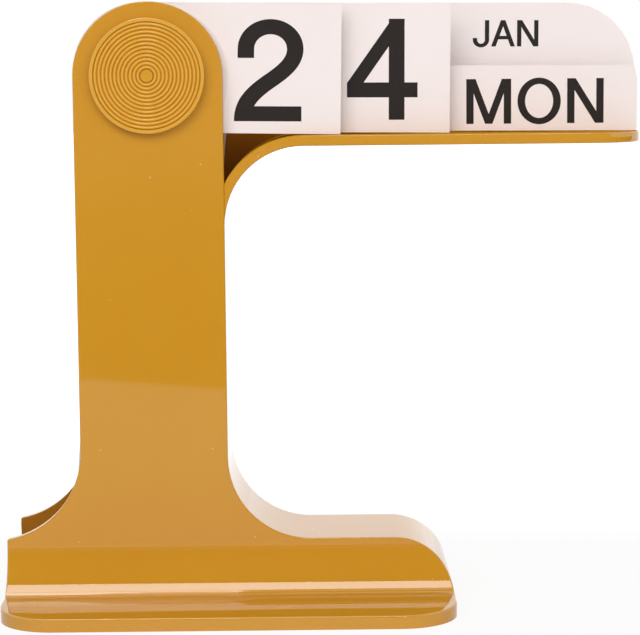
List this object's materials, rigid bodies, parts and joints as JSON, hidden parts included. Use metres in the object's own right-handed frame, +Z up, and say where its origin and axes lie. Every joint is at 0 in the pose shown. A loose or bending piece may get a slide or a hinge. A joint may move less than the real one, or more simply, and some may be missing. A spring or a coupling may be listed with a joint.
{
  "type": "perpetual desk calendar",
  "caption": "Desk calendar: moulded C-shaped stand whose shelf arm carries flip cards for date, weekday and month, hung on one pivot with a ringed disc.",
  "frame": {"origin": "on the surface that the feet stand on, under the centre of the whole object's box", "axes": "+X from the column along the arm, +Y to the rear, +Z up"},
  "size_m": [0.17, 0.09, 0.16],
  "materials": {
    "body_plastic": "glossy ochre-yellow moulded plastic",
    "card_plastic": "off-white sheet plastic with a satin surface and dark print"
  },
  "bodies": {
    "frame": {"stand": "body_plastic", "ringed_disc": "body_plastic", "pivot_shaft": "body_plastic", "rear_cap": "body_plastic"},
    "tens_card_1": {"tens_card_1": "card_plastic"},
    "tens_card_2": {"tens_card_2": "card_plastic"},
    "tens_card_3": {"tens_card_3": "card_plastic"},
    "units_card_0": {"units_card_0": "card_plastic"},
    "units_card_1": {"units_card_1": "card_plastic"},
    "units_card_2": {"units_card_2": "card_plastic"},
    "units_card_3": {"units_card_3": "card_plastic"},
    "units_card_4": {"units_card_4": "card_plastic"},
    "units_card_5": {"units_card_5": "card_plastic"},
    "units_card_6": {"units_card_6": "card_plastic"},
    "units_card_7": {"units_card_7": "card_plastic"},
    "units_card_8": {"units_card_8": "card_plastic"},
    "units_card_9": {"units_card_9": "card_plastic"},
    "weekday_card_mon": {"weekday_card_mon": "card_plastic"},
    "weekday_card_tue": {"weekday_card_tue": "card_plastic"},
    "weekday_card_wed": {"weekday_card_wed": "card_plastic"},
    "weekday_card_thu": {"weekday_card_thu": "card_plastic"},
    "weekday_card_fri": {"weekday_card_fri": "card_plastic"},
    "weekday_card_sat": {"weekday_card_sat": "card_plastic"},
    "weekday_card_sun": {"weekday_card_sun": "card_plastic"},
    "month_card_jan": {"month_card_jan": "card_plastic"},
    "month_card_feb": {"month_card_feb": "card_plastic"},
    "month_card_mar": {"month_card_mar": "card_plastic"},
    "month_card_apr": {"month_card_apr": "card_plastic"},
    "month_card_may": {"month_card_may": "card_plastic"},
    "month_card_jun": {"month_card_jun": "card_plastic"},
    "month_card_jul": {"month_card_jul": "card_plastic"},
    "month_card_aug": {"month_card_aug": "card_plastic"},
    "month_card_sep": {"month_card_sep": "card_plastic"},
    "month_card_oct": {"month_card_oct": "card_plastic"},
    "month_card_nov": {"month_card_nov": "card_plastic"},
    "month_card_dec": {"month_card_dec": "card_plastic"}
  },
  "joints": [
    {"name": "tens_card_1_flip", "type": "hinge", "parent": "frame", "child": "tens_card_1", "pos_m": [-0.0454, 0, 0.13925], "axis": [0, -1, 0], "range_deg": [-265.14, 0]},
    {"name": "tens_card_2_flip", "type": "hinge", "parent": "frame", "child": "tens_card_2", "pos_m": [-0.0454, 0, 0.13925], "axis": [0, -1, 0], "range_deg": [0, 265.14]},
    {"name": "tens_card_3_flip", "type": "hinge", "parent": "frame", "child": "tens_card_3", "pos_m": [-0.0454, 0, 0.13925], "axis": [0, -1, 0], "range_deg": [-265.14, 0]},
    {"name": "units_card_0_flip", "type": "hinge", "parent": "frame", "child": "units_card_0", "pos_m": [-0.0454, 0, 0.13925], "axis": [0, -1, 0], "range_deg": [-266.37, 0]},
    {"name": "units_card_1_flip", "type": "hinge", "parent": "frame", "child": "units_card_1", "pos_m": [-0.0454, 0, 0.13925], "axis": [0, -1, 0], "range_deg": [-266.37, 0]},
    {"name": "units_card_2_flip", "type": "hinge", "parent": "frame", "child": "units_card_2", "pos_m": [-0.0454, 0, 0.13925], "axis": [0, -1, 0], "range_deg": [-266.37, 0]},
    {"name": "units_card_3_flip", "type": "hinge", "parent": "frame", "child": "units_card_3", "pos_m": [-0.0454, 0, 0.13925], "axis": [0, -1, 0], "range_deg": [-266.37, 0]},
    {"name": "units_card_4_flip", "type": "hinge", "parent": "frame", "child": "units_card_4", "pos_m": [-0.0454, 0, 0.13925], "axis": [0, -1, 0], "range_deg": [0, 266.37]},
    {"name": "units_card_5_flip", "type": "hinge", "parent": "frame", "child": "units_card_5", "pos_m": [-0.0454, 0, 0.13925], "axis": [0, -1, 0], "range_deg": [-266.37, 0]},
    {"name": "units_card_6_flip", "type": "hinge", "parent": "frame", "child": "units_card_6", "pos_m": [-0.0454, 0, 0.13925], "axis": [0, -1, 0], "range_deg": [-266.37, 0]},
    {"name": "units_card_7_flip", "type": "hinge", "parent": "frame", "child": "units_card_7", "pos_m": [-0.0454, 0, 0.13925], "axis": [0, -1, 0], "range_deg": [-266.37, 0]},
    {"name": "units_card_8_flip", "type": "hinge", "parent": "frame", "child": "units_card_8", "pos_m": [-0.0454, 0, 0.13925], "axis": [0, -1, 0], "range_deg": [-266.37, 0]},
    {"name": "units_card_9_flip", "type": "hinge", "parent": "frame", "child": "units_card_9", "pos_m": [-0.0454, 0, 0.13925], "axis": [0, -1, 0], "range_deg": [-266.37, 0]},
    {"name": "weekday_card_mon_flip", "type": "hinge", "parent": "frame", "child": "weekday_card_mon", "pos_m": [-0.0454, 0, 0.13925], "axis": [0, -1, 0], "range_deg": [0, 266.09]},
    {"name": "weekday_card_tue_flip", "type": "hinge", "parent": "frame", "child": "weekday_card_tue", "pos_m": [-0.0454, 0, 0.13925], "axis": [0, -1, 0], "range_deg": [-266.09, 0]},
    {"name": "weekday_card_wed_flip", "type": "hinge", "parent": "frame", "child": "weekday_card_wed", "pos_m": [-0.0454, 0, 0.13925], "axis": [0, -1, 0], "range_deg": [-266.09, 0]},
    {"name": "weekday_card_thu_flip", "type": "hinge", "parent": "frame", "child": "weekday_card_thu", "pos_m": [-0.0454, 0, 0.13925], "axis": [0, -1, 0], "range_deg": [-266.09, 0]},
    {"name": "weekday_card_fri_flip", "type": "hinge", "parent": "frame", "child": "weekday_card_fri", "pos_m": [-0.0454, 0, 0.13925], "axis": [0, -1, 0], "range_deg": [-266.09, 0]},
    {"name": "weekday_card_sat_flip", "type": "hinge", "parent": "frame", "child": "weekday_card_sat", "pos_m": [-0.0454, 0, 0.13925], "axis": [0, -1, 0], "range_deg": [-266.09, 0]},
    {"name": "weekday_card_sun_flip", "type": "hinge", "parent": "frame", "child": "weekday_card_sun", "pos_m": [-0.0454, 0, 0.13925], "axis": [0, -1, 0], "range_deg": [-266.09, 0]},
    {"name": "month_card_jan_flip", "type": "hinge", "parent": "frame", "child": "month_card_jan", "pos_m": [-0.0454, 0, 0.13925], "axis": [0, -1, 0], "range_deg": [0, 266.09]},
    {"name": "month_card_feb_flip", "type": "hinge", "parent": "frame", "child": "month_card_feb", "pos_m": [-0.0454, 0, 0.13925], "axis": [0, -1, 0], "range_deg": [-266.09, 0]},
    {"name": "month_card_mar_flip", "type": "hinge", "parent": "frame", "child": "month_card_mar", "pos_m": [-0.0454, 0, 0.13925], "axis": [0, -1, 0], "range_deg": [-266.09, 0]},
    {"name": "month_card_apr_flip", "type": "hinge", "parent": "frame", "child": "month_card_apr", "pos_m": [-0.0454, 0, 0.13925], "axis": [0, -1, 0], "range_deg": [-266.09, 0]},
    {"name": "month_card_may_flip", "type": "hinge", "parent": "frame", "child": "month_card_may", "pos_m": [-0.0454, 0, 0.13925], "axis": [0, -1, 0], "range_deg": [-266.09, 0]},
    {"name": "month_card_jun_flip", "type": "hinge", "parent": "frame", "child": "month_card_jun", "pos_m": [-0.0454, 0, 0.13925], "axis": [0, -1, 0], "range_deg": [-266.09, 0]},
    {"name": "month_card_jul_flip", "type": "hinge", "parent": "frame", "child": "month_card_jul", "pos_m": [-0.0454, 0, 0.13925], "axis": [0, -1, 0], "range_deg": [-266.09, 0]},
    {"name": "month_card_aug_flip", "type": "hinge", "parent": "frame", "child": "month_card_aug", "pos_m": [-0.0454, 0, 0.13925], "axis": [0, -1, 0], "range_deg": [-266.09, 0]},
    {"name": "month_card_sep_flip", "type": "hinge", "parent": "frame", "child": "month_card_sep", "pos_m": [-0.0454, 0, 0.13925], "axis": [0, -1, 0], "range_deg": [-266.09, 0]},
    {"name": "month_card_oct_flip", "type": "hinge", "parent": "frame", "child": "month_card_oct", "pos_m": [-0.0454, 0, 0.13925], "axis": [0, -1, 0], "range_deg": [-266.09, 0]},
    {"name": "month_card_nov_flip", "type": "hinge", "parent": "frame", "child": "month_card_nov", "pos_m": [-0.0454, 0, 0.13925], "axis": [0, -1, 0], "range_deg": [-266.09, 0]},
    {"name": "month_card_dec_flip", "type": "hinge", "parent": "frame", "child": "month_card_dec", "pos_m": [-0.0454, 0, 0.13925], "axis": [0, -1, 0], "range_deg": [-266.09, 0]}
  ]
}
